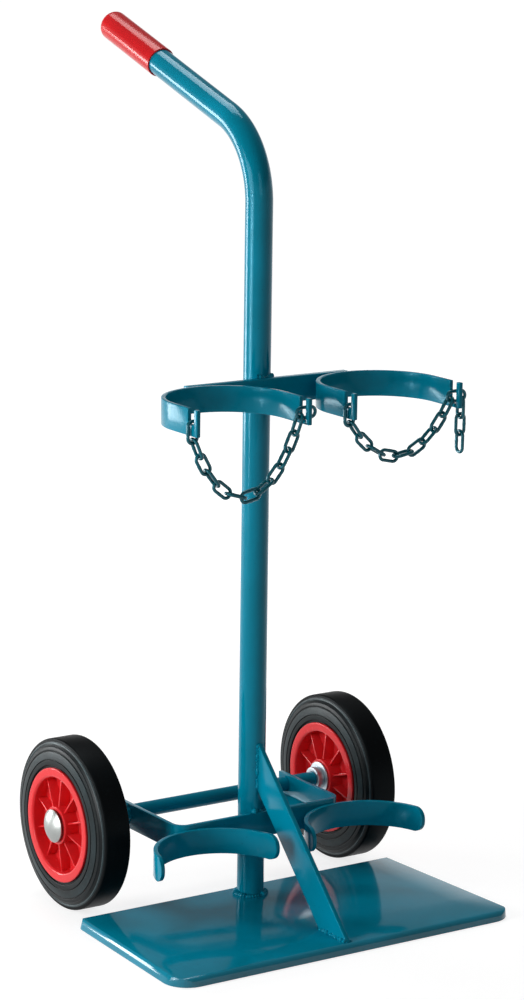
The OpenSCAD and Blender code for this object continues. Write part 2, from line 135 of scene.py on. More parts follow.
class TrolleyWheelSizes(PropertyGroup):
    tyre: length("Tyre radius", "Outer radius of the tyres", 101.5)
    width: length("Tyre width", "Width of the tyres at their flanks", 46)
    tread: length("Tread width", "Width of the tyres at the edges of the tread", 34)
    shoulder: length("Shoulder", "Rounding of the tread edges", 5.5)
    flank: length("Flank", "Radial height of the sloped part under the tread edges", 9)
    lip: length("Lip radius", "Outer radius of the rim lips", 67.7)
    seat: length("Seat radius", "Radius of the tyre seat on the rim", 62.5)
    barrel: length("Barrel radius", "Inner radius of the rim barrel", 56.5)
    rim_width: length("Rim width", "Width over the rim lips", 48)
    lip_wall: length("Lip thickness", "Thickness of the rim lips", 3.5)
    hub: length("Hub radius", "Outer radius of the hub", 22.5)
    hub_length: length("Hub length", "Length of the hub", 50)
    bore: length("Bore radius", "Radius of the hub bore", 12.2)
    web: length("Web", "Thickness of the rim web", 12)
    rib: length("Rib", "Thickness of the rim ribs", 2.2)
    ribs: IntProperty(name="Ribs", description="Number of ribs of a rim", default=10, min=4, max=20)
    cap: length("Cap radius", "Radius of the hub caps", 19.5)
    cap_dome: length("Cap dome", "Height of the hub caps' dome", 6.5)
    cap_skirt: length("Cap skirt", "Height of the hub caps' skirt", 1.5)
    cap_sheet: length("Cap sheet", "Thickness of the hub caps' sheet", 1.2)


class TrolleyChainSizes(PropertyGroup):
    wire: length("Wire radius", "Radius of the links' wire", 2)
    bow: length("Bow radius", "Centre-line radius of the links' bows", 5.8)
    straight: length("Straight", "Length of the links' straight sides", 13)
    seam: number("Seam", "Swelling of the wire at the weld of a link", 0.1)


class TrolleyStage(PropertyGroup):
    azimuth: angle("Azimuth", "Camera turn about the vertical", -33.59)
    pitch: angle("Pitch", "Camera height as an angle", 12.15)
    roll: angle("Roll", "Camera roll", -0.78)
    distance: length("Distance", "Camera distance from its target", 3743.17)
    target: FloatVectorProperty(name="Target", description="Point in the middle of the picture",
                                default=(-0.02981, -0.11759, 0.49997), subtype="XYZ", unit="LENGTH")
    picture: number("Picture", "Height of the picture in the camera in millimetres", 24.0)
    lens: number("Lens", "Focal length in millimetres", 79.2)
    floor: colour("Floor", "Colour of the floor", (0.36, 0.36, 0.36))
    ambient: number("Ambient", "Strength of the sky for diffuse light", 0.09)


# Node trees written as expressions


def maths_method(operation, swapped=False):
    """A socket's operator, which adds a Math node for the socket and another value."""

    def method(self, other):
        pair = (other, self) if swapped else (self, other)
        return self.graph.maths(operation, *pair)

    return method


class Sock:
    """An output socket with the operators that the node trees use, and their reflected forms."""

    def __init__(self, graph, socket):
        self.graph = graph
        self.socket = socket

    __add__ = __radd__ = maths_method("ADD")
    __sub__ = maths_method("SUBTRACT")
    __rsub__ = maths_method("SUBTRACT", swapped=True)
    __mul__ = __rmul__ = maths_method("MULTIPLY")
    __truediv__ = maths_method("DIVIDE")
    __rtruediv__ = maths_method("DIVIDE", swapped=True)
    __gt__ = maths_method("GREATER_THAN")
    __lt__ = maths_method("LESS_THAN")


class Graph:
    """A node tree whose nodes are made by one method."""

    def __init__(self, tree):
        self.tree = tree

    def feed(self, socket, value):
        if isinstance(value, Sock):
            self.tree.links.new(value.socket, socket)
        elif socket.type == "RGBA":
            socket.default_value = (*value[:3], 1.0)
        else:
            socket.default_value = value

    def add(self, kind, feeds=None, out=0, **settings):
        """A node of this kind: its settings first, then the values or links of its sockets."""
        node = self.tree.nodes.new(kind)
        for key, value in settings.items():
            if key == "stops":
                self.set_stops(node.color_ramp.elements, value)
            else:
                setattr(node, key, value)
        for key, value in (feeds or {}).items():
            self.feed(node.inputs[key], value)
        return Sock(self, node.outputs[out]) if len(node.outputs) else node

    def set_stops(self, elements, stops):
        """Gives a new ramp, which has two stops, these stops of a place and a tone."""
        for place, tone in stops[2:]:
            elements.new(place)
        for element, (place, tone) in zip(elements, stops):
            element.position = place
            element.color = (tone, tone, tone, 1.0)

    def maths(self, operation, *values):
        return self.add("ShaderNodeMath", dict(enumerate(values)), operation=operation)

    def split(self, vector):
        """The three parts of a vector."""
        first = self.add("ShaderNodeSeparateXYZ", {"Vector": vector})
        return [Sock(self, part) for part in first.socket.node.outputs]

    def mix(self, factor, first, second):
        return self.add("ShaderNodeMix", {0: factor, 6: first, 7: second}, out=2, data_type="RGBA")

    def noise(self, point, scale, detail, rough=0.5):
        return self.add("ShaderNodeTexNoise",
                        {"Vector": point, "Scale": scale, "Detail": detail, "Roughness": rough})

    def ramp(self, value, *stops):
        return self.add("ShaderNodeValToRGB", {"Fac": value}, stops=stops)

    def bump(self, height, strength, distance):
        return self.add("ShaderNodeBump", {"Strength": strength, "Distance": distance, "Height": height})


def cleared(owner):
    """The empty node tree of a material or a world."""
    owner.use_nodes = True
    owner.node_tree.nodes.clear()
    return Graph(owner.node_tree)


def surface(name, fixed, vary):
    """A procedural material: fixed sockets by value, and the sockets that vary over the surface by links."""
    material = bpy.data.materials.new(name)
    graph = cleared(material)
    point = graph.add("ShaderNodeTexCoord", out="Object")
    shader = graph.add("ShaderNodeBsdfPrincipled", {**fixed, **vary(graph, point)})
    graph.add("ShaderNodeOutputMaterial", {"Surface": shader})
    return material


# Finishes


def shade(tone, factor):
    return tuple(min(1.0, part * factor) for part in tone)


def enamel(name, light, deep, gloss, level, tint=(0.3, 0.78, 1.0), crown=None):
    """Thick glossy enamel: slight orange peel, broad flow marks, dust nibs under the gloss."""
    flow_scale, mottle_scale, nib_scale, peel_scale = 14.0, 95.0, 120.0, 330.0
    peel_part, mottle_part, nib_part = 0.06, 0.9, 0.3
    nib_cover, nib_tone, dulling = 0.55, 0.35, 0.1
    relief = 0.036 * MM

    def vary(g, p):
        flow = g.noise(p, flow_scale, 3.0)
        peel = g.noise(p, peel_scale, 1.0)
        mottle = g.noise(p, mottle_scale, 2.0)
        nib = g.add("ShaderNodeTexVoronoi", {"Vector": p, "Scale": nib_scale}, out="Distance")
        speck = g.ramp(nib, (0.0, 1.0), (0.12, 0.0))
        tone = g.mix(g.ramp(flow, (0.3, 0.0), (0.7, 1.0)), deep, light)
        height = (peel * peel_part + mottle * mottle_part + speck * nib_part) * relief
        if crown:
            height = height + crown(g, p)
        return {
            "Base Color": g.mix(speck * nib_cover, tone, shade(deep, nib_tone)),
            "Roughness": gloss + mottle * dulling,
            "Normal": g.bump(height, 1.0, 1.0),
        }

    return surface(name, {"IOR": 1.5, "Specular IOR Level": level, "Specular Tint": tint}, vary)


def plate_crown(sizes):
    """Height of the pressed plate's face, which falls gently towards its sides and its front."""
    low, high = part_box("base_plate")

    def fall(g, gap, reach):
        near = g.maths("MAXIMUM", 1.0 - gap / reach, 0.0)
        return near * near * (-sizes.crown_slope * reach / 2)

    def height(g, p):
        x, y = g.split(p)[:2]
        front_gap = y - low.y
        side_gap = high.x - g.maths("ABSOLUTE", x) - front_gap * sizes.plate_taper
        return fall(g, side_gap, sizes.crown_side) + fall(g, front_gap, sizes.crown_front)

    return height


def moulded(name, tone, gloss, shine=(1.0, 1.0, 1.0)):
    """Moulded plastic: faint flow lines, scuffs and a fine grain."""
    flow_scale, scuff_scale, grain_scale = 22.0, 160.0, 900.0
    dark, pale, worn = 0.86, 1.12, 1.5
    scuff_cover, scuff_dulling, flow_dulling = 0.25, 0.25, 0.06
    grain_part, flow_part, scuff_part = 0.1, 2.0, 0.3
    strength, relief = 0.03, 0.2 * MM

    def vary(g, p):
        flow = g.noise(p, flow_scale, 2.0)
        grain = g.noise(p, grain_scale, 1.0)
        scuff = g.ramp(g.noise(p, scuff_scale, 6.0, 0.7), (0.62, 0.0), (0.75, 1.0))
        base = g.mix(flow, shade(tone, dark), shade(tone, pale))
        height = grain * grain_part + flow * flow_part + scuff * scuff_part
        return {
            "Base Color": g.mix(scuff * scuff_cover, base, shade(tone, worn)),
            "Roughness": gloss + scuff * scuff_dulling + flow * flow_dulling,
            "Normal": g.bump(height, strength, relief),
        }

    return surface(name, {"IOR": 1.48, "Specular IOR Level": 0.3, "Specular Tint": shine}, vary)


def rubber(name, tone, bloom_and_sheen_tone, wheel):
    """Tyre rubber: black tread, and side walls with a grey bloom and painted highlights in rings and a fine
    moulded grain.
    """
    bloom_and_sheen_scale, dust_scale, grain_scale = 30.0, 240.0, 1100.0
    # Place between the rim's lip and the tread, and the share of the blue-grey colour there: the band from
    # 0.31 to 0.52 is partly bloom, partly painted highlight, and the ring from 0.815 to 0.86 is a painted
    # highlight on the ridge under the tread edge
    bloom_and_highlight_rings = ((0.0, 0.04), (0.1, 0.14), (0.24, 0.1), (0.28, 0.01), (0.31, 0.34), (0.52, 0.46),
                  (0.57, 0.02), (0.62, 0.1), (0.78, 0.05), (0.815, 1.0), (0.86, 0.8), (0.89, 0.0))
    coat = ((0.0, 0.2), (0.78, 0.3), (0.83, 0.8), (0.9, 0.0))
    bloom_and_sheen_clean, bloom_and_sheen_dusty, dust_film = 0.75, 0.5, 0.05
    dull, ring_polish, dust_dulling = 0.42, 0.08, 0.12
    dust_part, strength, relief = 0.6, 0.16, 0.3 * MM

    def vary(g, p):
        y, z = g.split(p)[1:]
        y, z = y - AXLE_Y, z - AXLE_Z
        radius = g.maths("SQRT", y * y + z * z)
        out = (radius - wheel.lip) / (wheel.tyre - wheel.lip)
        rings = g.ramp(out, *bloom_and_highlight_rings)
        bloom_and_sheen = g.ramp(g.noise(p, bloom_and_sheen_scale, 4.0), (0.3, 0.35), (0.75, 1.0))
        grain = g.noise(p, grain_scale, 2.0)
        dust = g.ramp(g.noise(p, dust_scale, 5.0, 0.7), (0.58, 0.0), (0.72, 1.0))
        # Bloom and dust on the side walls, with painted highlight on the lit rings
        cover = rings * bloom_and_sheen * (bloom_and_sheen_clean + dust * bloom_and_sheen_dusty) + dust * dust_film
        return {
            "Base Color": g.mix(cover, tone, bloom_and_sheen_tone),
            "Roughness": dull - rings * ring_polish + dust * dust_dulling,
            "Coat Weight": g.ramp(out, *coat),
            "Normal": g.bump(grain + dust * dust_part, strength, relief),
        }

    gloss = {"IOR": 1.5, "Specular IOR Level": 0.05, "Specular Tint": (0.7, 0.92, 1.0),
             "Coat Roughness": 0.3, "Coat IOR": 1.4}
    return surface(name, gloss, vary)


def metal(name, tone, rough):
    """Plated steel: cloudy plating, fine scratches."""
    cloud_scale, scratch_scale = 70.0, (120.0, 2600.0, 2600.0)
    dark, pale = 0.78, 1.1
    cloud_dulling, scratch_dulling = 0.12, 0.06
    strength, relief = 0.06, 0.2 * MM

    def vary(g, p):
        cloud = g.noise(p, cloud_scale, 4.0)
        drawn = g.add("ShaderNodeMapping", {"Vector": p, "Scale": scratch_scale})
        scratch = g.noise(drawn, 1.0, 2.0)
        return {
            "Base Color": g.mix(cloud, shade(tone, dark), shade(tone, pale)),
            "Roughness": rough + cloud * cloud_dulling + scratch * scratch_dulling,
            "Normal": g.bump(scratch, strength, relief),
        }

    return surface(name, {"Metallic": 1.0}, vary)


MATERIALS = {}


class TROLLEY_OT_finishes(Operator):
    """Mixes the enamel, plastics, rubber and plating"""
    bl_idname = "trolley.finishes"
    bl_label = "Finishes"

    pan_tint = (0.85, 0.94, 1.0)
    chain_tint = (0.35, 0.8, 1.0)
    red_shine = (1.0, 0.65, 0.65)
    chain_deep = 0.6

    def execute(self, context):
        tint = context.scene.trolley_colours
        light, deep = tint.enamel, tint.enamel_deep
        crown = plate_crown(context.scene.trolley_frame)
        chain_deep = shade(tint.chain, self.chain_deep)
        MATERIALS.update(
            enamel=enamel("frame_enamel", light, deep, gloss=0.12, level=0.2),
            tube=enamel("column_enamel", light, deep, gloss=0.06, level=0.3),
            pan=enamel("plate_enamel", light, deep, gloss=0.05, level=0.5, tint=self.pan_tint, crown=crown),
            chain=enamel("chain_enamel", tint.chain, chain_deep, gloss=0.08, level=0.6, tint=self.chain_tint),
            grip=moulded("grip_plastic", tint.grip, gloss=0.15, shine=self.red_shine),
            rim=moulded("rim_plastic", tint.rim, gloss=0.2, shine=self.red_shine),
            rubber=rubber("tyre_rubber", tint.rubber, tint.bloom_and_sheen, context.scene.trolley_wheel),
            zinc=metal("axle_zinc", tint.zinc, rough=0.28),
            bright=metal("cap_polish", tint.bright, rough=0.26),
            bush=moulded("bush_plastic", tint.bush, gloss=0.4),
        )
        return {"FINISHED"}


# Meshes


def placed(name, data):
    """A new object in the scene, at the origin."""
    thing = bpy.data.objects.new(name, data)
    bpy.context.scene.collection.objects.link(thing)
    return thing


def piece_from(name, mesh, finish, body, nodes):
    """Puts a finished mesh into the scene as a piece on its body."""
    mesh.name = name
    mesh.materials.clear()
    mesh.materials.append(MATERIALS[finish])
    piece = placed(name, mesh)
    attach(piece, body)
    if nodes:
        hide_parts(*nodes)
    return piece


def smooth(mesh, degrees):
    """Smooth shading that keeps edges sharper than this angle."""
    mesh.shade_smooth()
    mesh.set_sharp_from_angle(angle=math.radians(degrees))
    return mesh


def filled(mesh, bm):
    """The mesh with the faces of a bmesh, which ends here."""
    bm.to_mesh(mesh)
    bm.free()
    return mesh


def mesh_of(name, bm):
    """The plain mesh of a bmesh, with its faces turned outwards."""
    bmesh.ops.remove_doubles(bm, verts=bm.verts, dist=WELD)
    bmesh.ops.recalc_face_normals(bm, faces=bm.faces)
    return filled(bpy.data.meshes.new(name), bm)


def baked(mesh, add_modifiers):
    """The mesh after its modifiers, as a plain mesh."""
    holder = placed("holder", mesh)
    add_modifiers(holder)
    graph = bpy.context.evaluated_depsgraph_get()
    result = bpy.data.meshes.new_from_object(holder.evaluated_get(graph), depsgraph=graph)
    holder.modifiers.clear()
    bpy.data.objects.remove(holder)
    return result


def eased(mesh, width, segments, degrees):
    """The mesh with its sharp edges rounded, and no slivers left by that."""

    def round_edges(holder):
        bevel = holder.modifiers.new("edges", "BEVEL")
        bevel.width = width
        bevel.segments = segments
        bevel.limit_method = "ANGLE"
        bevel.angle_limit = math.radians(degrees)
        bevel.use_clamp_overlap = True

    mesh = baked(mesh, round_edges)
    bm = bmesh.new()
    bm.from_mesh(mesh)
    bmesh.ops.dissolve_degenerate(bm, dist=WELD, edges=bm.edges)
    return smooth(filled(mesh, bm), degrees)


def merged(node):
    """A bmesh copy of a solid's mesh with its loose triangles merged."""
    bm = bmesh.new()
    bm.from_mesh(frame["nodes"][node].data)
    bmesh.ops.remove_doubles(bm, verts=bm.verts, dist=NODE_WELD)
    return bm


def node_copy(node):
    """A merged copy of a solid's mesh, with flat faces in one piece."""
    flat = math.radians(0.5)
    bm = merged(node)
    bmesh.ops.dissolve_limit(bm, angle_limit=flat, verts=bm.verts, edges=bm.edges)
    return filled(bpy.data.meshes.new(node), bm)


def dress(node, finish, body, width):
    """A solid's shape with eased edges, standing for the solid."""
    mesh = eased(node_copy(node), width, segments=3, degrees=BAR_CREASE)
    return piece_from(node + "_skin", mesh, finish, body, [node])


def rounded_loop(corners, steps):
    """A closed profile whose corners (r, z, radius) are rounded."""
    most = 0.49
    loop = []
    count = len(corners)
    for i, (r, z, radius) in enumerate(corners):
        here = Vector((r, z))
        if radius <= 0.0:
            loop.append(here)
            continue
        before = Vector(corners[i - 1][:2]) - here
        after = Vector(corners[(i + 1) % count][:2]) - here
        half = before.angle(after) / 2
        reach = min(radius / math.tan(half), most * before.length, most * after.length)
        start = here + before.normalized() * reach
        end = here + after.normalized() * reach
        for k in range(steps + 1):
            t = k / steps
            loop.append((1 - t) ** 2 * start + 2 * t * (1 - t) * here + t * t * end)
    return loop


def lathe(loop, place, turns):
    """The closed loop (r, z) turned about the z axis of the place matrix."""
    bm = bmesh.new()
    rings = []
    for k in range(turns):
        turn = Matrix.Rotation(FULL_TURN * k / turns, 3, "Z")
        rings.append([bm.verts.new(place @ (turn @ Vector((p[0], 0.0, p[1])))) for p in loop])
    for k in range(turns):
        a, b = rings[k], rings[(k + 1) % turns]
        for i in range(len(loop)):
            j = (i + 1) % len(loop)
            bm.faces.new((a[i], b[i], b[j], a[j]))
    bmesh.ops.dissolve_degenerate(bm, dist=POLE, edges=bm.edges)
    return bm


def swept(rings):
    """A closed skin over a row of equal rings of points."""
    bm = bmesh.new()
    rows = [[bm.verts.new(p) for p in ring] for ring in rings]
    for a, b in zip(rows, rows[1:]):
        for i in range(len(a)):
            j = (i + 1) % len(a)
            bm.faces.new((a[i], a[j], b[j], b[i]))
    bm.faces.new(rows[0])
    bm.faces.new(rows[-1])
    return bm


def line(start, end, count=24):
    """Points along a straight line."""
    a, b = Vector(start), Vector(end)
    return [a.lerp(b, k / count) for k in range(count + 1)]


def arc(centre, radius, start, end, turn=Matrix.Identity(3), count=48):
    """Points along an arc between two angles in degrees, level unless it is turned."""
    angles = (math.radians(start + (end - start) * k / count) for k in range(count + 1))
    return [centre + turn @ Vector((radius * math.cos(a), radius * math.sin(a), 0.0)) for a in angles]


# Geometry node trees


class NodeTool:
    """A geometry node tree with named inputs, run once on a mesh to give a plain mesh."""

    def __init__(self, name):
        self.tree = bpy.data.node_groups.new(name, "GeometryNodeTree")
        self.graph = Graph(self.tree)
        self.keys = {}
        self.tree.interface.new_socket("Geometry", in_out="OUTPUT", socket_type="NodeSocketGeometry")
        self.add_input("Geometry", "NodeSocketGeometry")
        self.entry = self.tree.nodes.new("NodeGroupInput")
        self.exit = self.tree.nodes.new("NodeGroupOutput")

    def add_input(self, label, kind):
        socket = self.tree.interface.new_socket(label, in_out="INPUT", socket_type=kind)
        self.keys[label] = socket.identifier

    def size(self, label, kind="NodeSocketFloat"):
        self.add_input(label, kind)
        return Sock(self.graph, self.entry.outputs[label])

    def start(self):
        return Sock(self.graph, self.entry.outputs["Geometry"])

    def close(self, shape):
        whole = self.graph.add("GeometryNodeRealizeInstances", {"Geometry": shape})
        finish = self.size("Finish", "NodeSocketMaterial")
        painted = self.graph.add("GeometryNodeSetMaterial", {"Geometry": whole, "Material": finish})
        self.graph.feed(self.exit.inputs["Geometry"], painted)

    def run(self, mesh, finish, **sizes):
        def add(holder):
            modifier = holder.modifiers.new(self.tree.name, "NODES")
            modifier.node_group = self.tree
            modifier[self.keys["Finish"]] = MATERIALS[finish]
            for label, value in sizes.items():
                modifier[self.keys[label.replace("_", " ")]] = value

        return baked(mesh, add)


def named(g, name, kind):
    """A value that the points of the incoming mesh carry."""
    return g.add("GeometryNodeInputNamedAttribute", {"Name": name}, data_type=kind)


def circle(g, points, radius):
    return g.add("GeometryNodeCurvePrimitiveCircle", {"Resolution": points, "Radius": radius})


def link_tool():
    """Chain links on points that carry a turn: a stadium of wire with a swollen weld seam."""
    circle_points, link_points, wire_sides, seam_reach = 96, 72, 14, 0.8
    tool = NodeTool("chain_links")
    g = tool.graph
    wire, bow, straight, seam = (tool.size(label) for label in ("Wire", "Bow", "Straight", "Seam"))
    x, y = g.split(g.add("GeometryNodeInputPosition"))[:2]
    shift = g.add("ShaderNodeCombineXYZ", {"X": g.maths("SIGN", x) * straight * 0.5})
    path = g.add("GeometryNodeSetPosition", {"Geometry": circle(g, circle_points, bow), "Offset": shift})
    path = g.add("GeometryNodeResampleCurve", {"Curve": path, "Count": link_points}, mode="COUNT")
    along = x / (wire * seam_reach)
    swell = g.maths("EXPONENT", along * along * -1.0)
    scale = 1.0 + swell * (y > 0.0) * seam
    body = g.add("GeometryNodeCurveToMesh",
                 {"Curve": path, "Profile Curve": circle(g, wire_sides, wire), "Scale": scale})
    body = g.add("GeometryNodeSetShadeSmooth", {"Geometry": body})
    turn = g.add("FunctionNodeEulerToRotation", {"Euler": named(g, "turn", "FLOAT_VECTOR")})
    tool.close(g.add("GeometryNodeInstanceOnPoints",
                     {"Points": tool.start(), "Instance": body, "Rotation": turn}))
    return tool


def bead_tool():
    """Weld beads along the edges of a mesh: a rippled, slightly uneven string of metal."""
    step_part, lump_scale, bead_sides = 0.2, 260.0, 12
    least, lump_part, ripple_part = -1.0, 3.8, 0.16
    tool = NodeTool("weld_beads")
    g = tool.graph
    half, ripple = tool.size("Half Width"), tool.size("Ripple")
    curve = g.add("GeometryNodeMeshToCurve", {"Mesh": tool.start()})
    step = ripple * step_part
    curve = g.add("GeometryNodeResampleCurve", {"Curve": curve, "Length": step}, mode="LENGTH")
    along = g.add("GeometryNodeSplineParameter", out="Length")
    wave = g.maths("SINE", along / ripple * FULL_TURN)
    lump = g.noise(g.add("GeometryNodeInputPosition"), lump_scale, 2.0)
    swell = (lump * lump_part + least + wave * ripple_part) * named(g, "girth", "FLOAT")
    body = g.add("GeometryNodeCurveToMesh", {
        "Curve": curve, "Profile Curve": circle(g, bead_sides, half), "Scale": swell, "Fill Caps": True})
    tool.close(g.add("GeometryNodeSetShadeSmooth", {"Geometry": body}))
    return tool


def rib_tool():
    """One rib repeated round a wheel, joined to the turned rim that comes in."""
    tool = NodeTool("rim_ribs")
    g = tool.graph
    count = tool.size("Count", "NodeSocketInt")
    rib = tool.size("Rib", "NodeSocketObject")
    ring = g.add("GeometryNodeMeshCircle", {"Vertices": count, "Radius": 0.0})
    step = g.add("GeometryNodeInputIndex") * FULL_TURN / count
    turn = g.add("FunctionNodeAxisAngleToRotation", {"Axis": (0.0, 0.0, 1.0), "Angle": step})
    shape = g.add("GeometryNodeObjectInfo", {"Object": rib, "As Instance": True}, out="Geometry")
    ribs = g.add("GeometryNodeInstanceOnPoints", {"Points": ring, "Instance": shape, "Rotation": turn})
    join = g.add("GeometryNodeJoinGeometry", {0: tool.start()})
    g.feed(join.socket.node.inputs[0], ribs)
    tool.close(join)
    return tool


# Places


def wheel_place(side):
    """Matrix whose z axis is the axle, pointing out of the wheel."""
    out = -1 if side == "left" else 1
    centre = Vector(JOINTS[f"wheel_{side}_spin"]["pos_m"])
    return Matrix.Translation(centre) @ Matrix.Rotation(out * math.pi / 2, 4, "Y")


def column_axis():
    """Middle of the column in plan."""
    low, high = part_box("column_tube")
    return Vector(((low.x + high.x) / 2, low.y + bpy.context.scene.trolley_frame.tube, 0.0))


def bend_place(turn):
    """Matrix whose z axis runs along the tube where the handle bend has made this turn."""
    sizes = bpy.context.scene.trolley_frame
    back = sizes.bend_radius * (1 - math.cos(turn))
    height = sizes.bend_start + sizes.bend_radius * math.sin(turn)
    point = column_axis() + Vector((0.0, back, height))
    return Matrix.Translation(point) @ Matrix.Rotation(-turn, 4, "X")


def handle_place(along):
    """Matrix whose z axis runs along the handle, this far from the end of the bend."""
    return bend_place(bpy.context.scene.trolley_frame.bend_turn) @ Matrix.Translation((0.0, 0.0, along))


def loose_links(node):
    """Centre and turn of every link of a chain node, from its loose parts."""
    bm = merged(node)
    seen, found = set(), []
    for first in bm.verts:
        if first in seen:
            continue
        group, front = [], [first]
        seen.add(first)
        while front:
            vert = front.pop()
            group.append(vert.co.copy())
            for edge in vert.link_edges:
                other = edge.other_vert(vert)
                if other not in seen:
                    seen.add(other)
                    front.append(other)
        found.append(link_turn(group))
    bm.free()
    return found


def link_turn(points):
    """Centre of a link, and the turn that lays a flat link along its longest and widest reach."""
    tip_part, edge_on = 0.985, 9 * MM
    low = Vector([min(p[i] for p in points) for i in range(3)])
    high = Vector([max(p[i] for p in points) for i in range(3)])
    centre = (low + high) / 2
    far = [p - centre for p in points]
    along = max(far, key=lambda d: d.length).normalized()
    reach = max(d.dot(along) for d in far)
    tips = [d for d in far if d.dot(along) > tip_part * reach]
    along = sum(tips, Vector()).normalized()
    depth = Vector((0.0, 1.0, 0.0))
    across = depth if high.y - low.y > edge_on else along.cross(depth)
    across = (across - along * across.dot(along)).normalized()
    basis = Matrix((along, across, along.cross(across))).transposed()
    return centre, basis.to_euler("XYZ")


# Operators


class TROLLEY_OT_column(Operator):
    """Bends the column tube with its handle and slides the grip onto it"""
    bl_idname = "trolley.column"
    bl_label = "Column and Grip"

    sides = 72
    bend_steps = 48
    grip_sides = 96
    grip_steps = 12

    def execute(self, context):
        sizes = context.scene.trolley_frame
        foot = column_axis() + Vector((0.0, 0.0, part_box("column_tube")[0].z))
        ring = [Vector((sizes.tube * math.cos(a), sizes.tube * math.sin(a), 0.0))
                for a in (FULL_TURN * k / self.sides for k in range(self.sides))]
        places = [Matrix.Translation(foot)]
        places += [bend_place(sizes.bend_turn * k / self.bend_steps) for k in range(self.bend_steps + 1)]
        places.append(handle_place(sizes.handle))
        mesh = smooth(mesh_of("column", swept([[m @ p for p in ring] for m in places])), CREASE)
        piece_from("column_skin", mesh, "tube", ROOT, ["column_tube"])
        self.grip(sizes)
        return {"FINISHED"}

    def grip(self, sizes):
        """The sleeve with its rounded closed end."""
        outer, reach, dome = sizes.grip_radius, sizes.grip_length, sizes.grip_round
        play, mouth, brim = 0.1 * MM, 0.25 * MM, 0.7 * MM
        bore = sizes.tube + play
        floor = reach - dome
        loop = rounded_loop([
            (bore, 0.0, mouth), (outer, 0.0, brim), (outer, reach, dome),
            (0.0, reach, 0.0), (0.0, floor, 0.0), (bore, floor, 0.0),
        ], self.grip_steps)
        bm = lathe(loop, handle_place(sizes.handle - floor), self.grip_sides)
        mesh = smooth(mesh_of("grip", bm), CREASE)
        piece_from("grip_sleeve", mesh, "grip", ROOT, ["handle_grip"])


class TROLLEY_OT_frame(Operator):
    """Eases the edges of the bars, bands and the base plate"""
    bl_idname = "trolley.frame"
    bl_label = "Frame Bars"

    def execute(self, context):
        sizes = context.scene.trolley_frame
        bars = ["upper_crossbar", "axle_frame", "brace"]
        bars += [f"{level}_cradle_{side}" for level in ("upper", "lower") for side in SIDES]
        for node in bars:
            dress(node, "enamel", ROOT, sizes.edge)
        self.plate(sizes)
        return {"FINISHED"}

    def plate(self, sizes):
        """The pressed plate, whose side flanges lean in a little."""
        mesh = node_copy("base_plate")
        low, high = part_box("base_plate")
        lean = math.tan(sizes.plate_lean)
        for vert in mesh.vertices:
            gap = high.x - abs(vert.co.x) - (vert.co.y - low.y) * sizes.plate_taper
            near = max(0.0, min(1.0, 1.0 - gap / sizes.plate_flange))
            vert.co.x -= math.copysign(near * (vert.co.z - low.z) * lean, vert.co.x)
        mesh = eased(mesh, sizes.plate_edge, segments=3, degrees=CREASE)
        piece_from("base_plate_skin", mesh, "pan", ROOT, ["base_plate"])


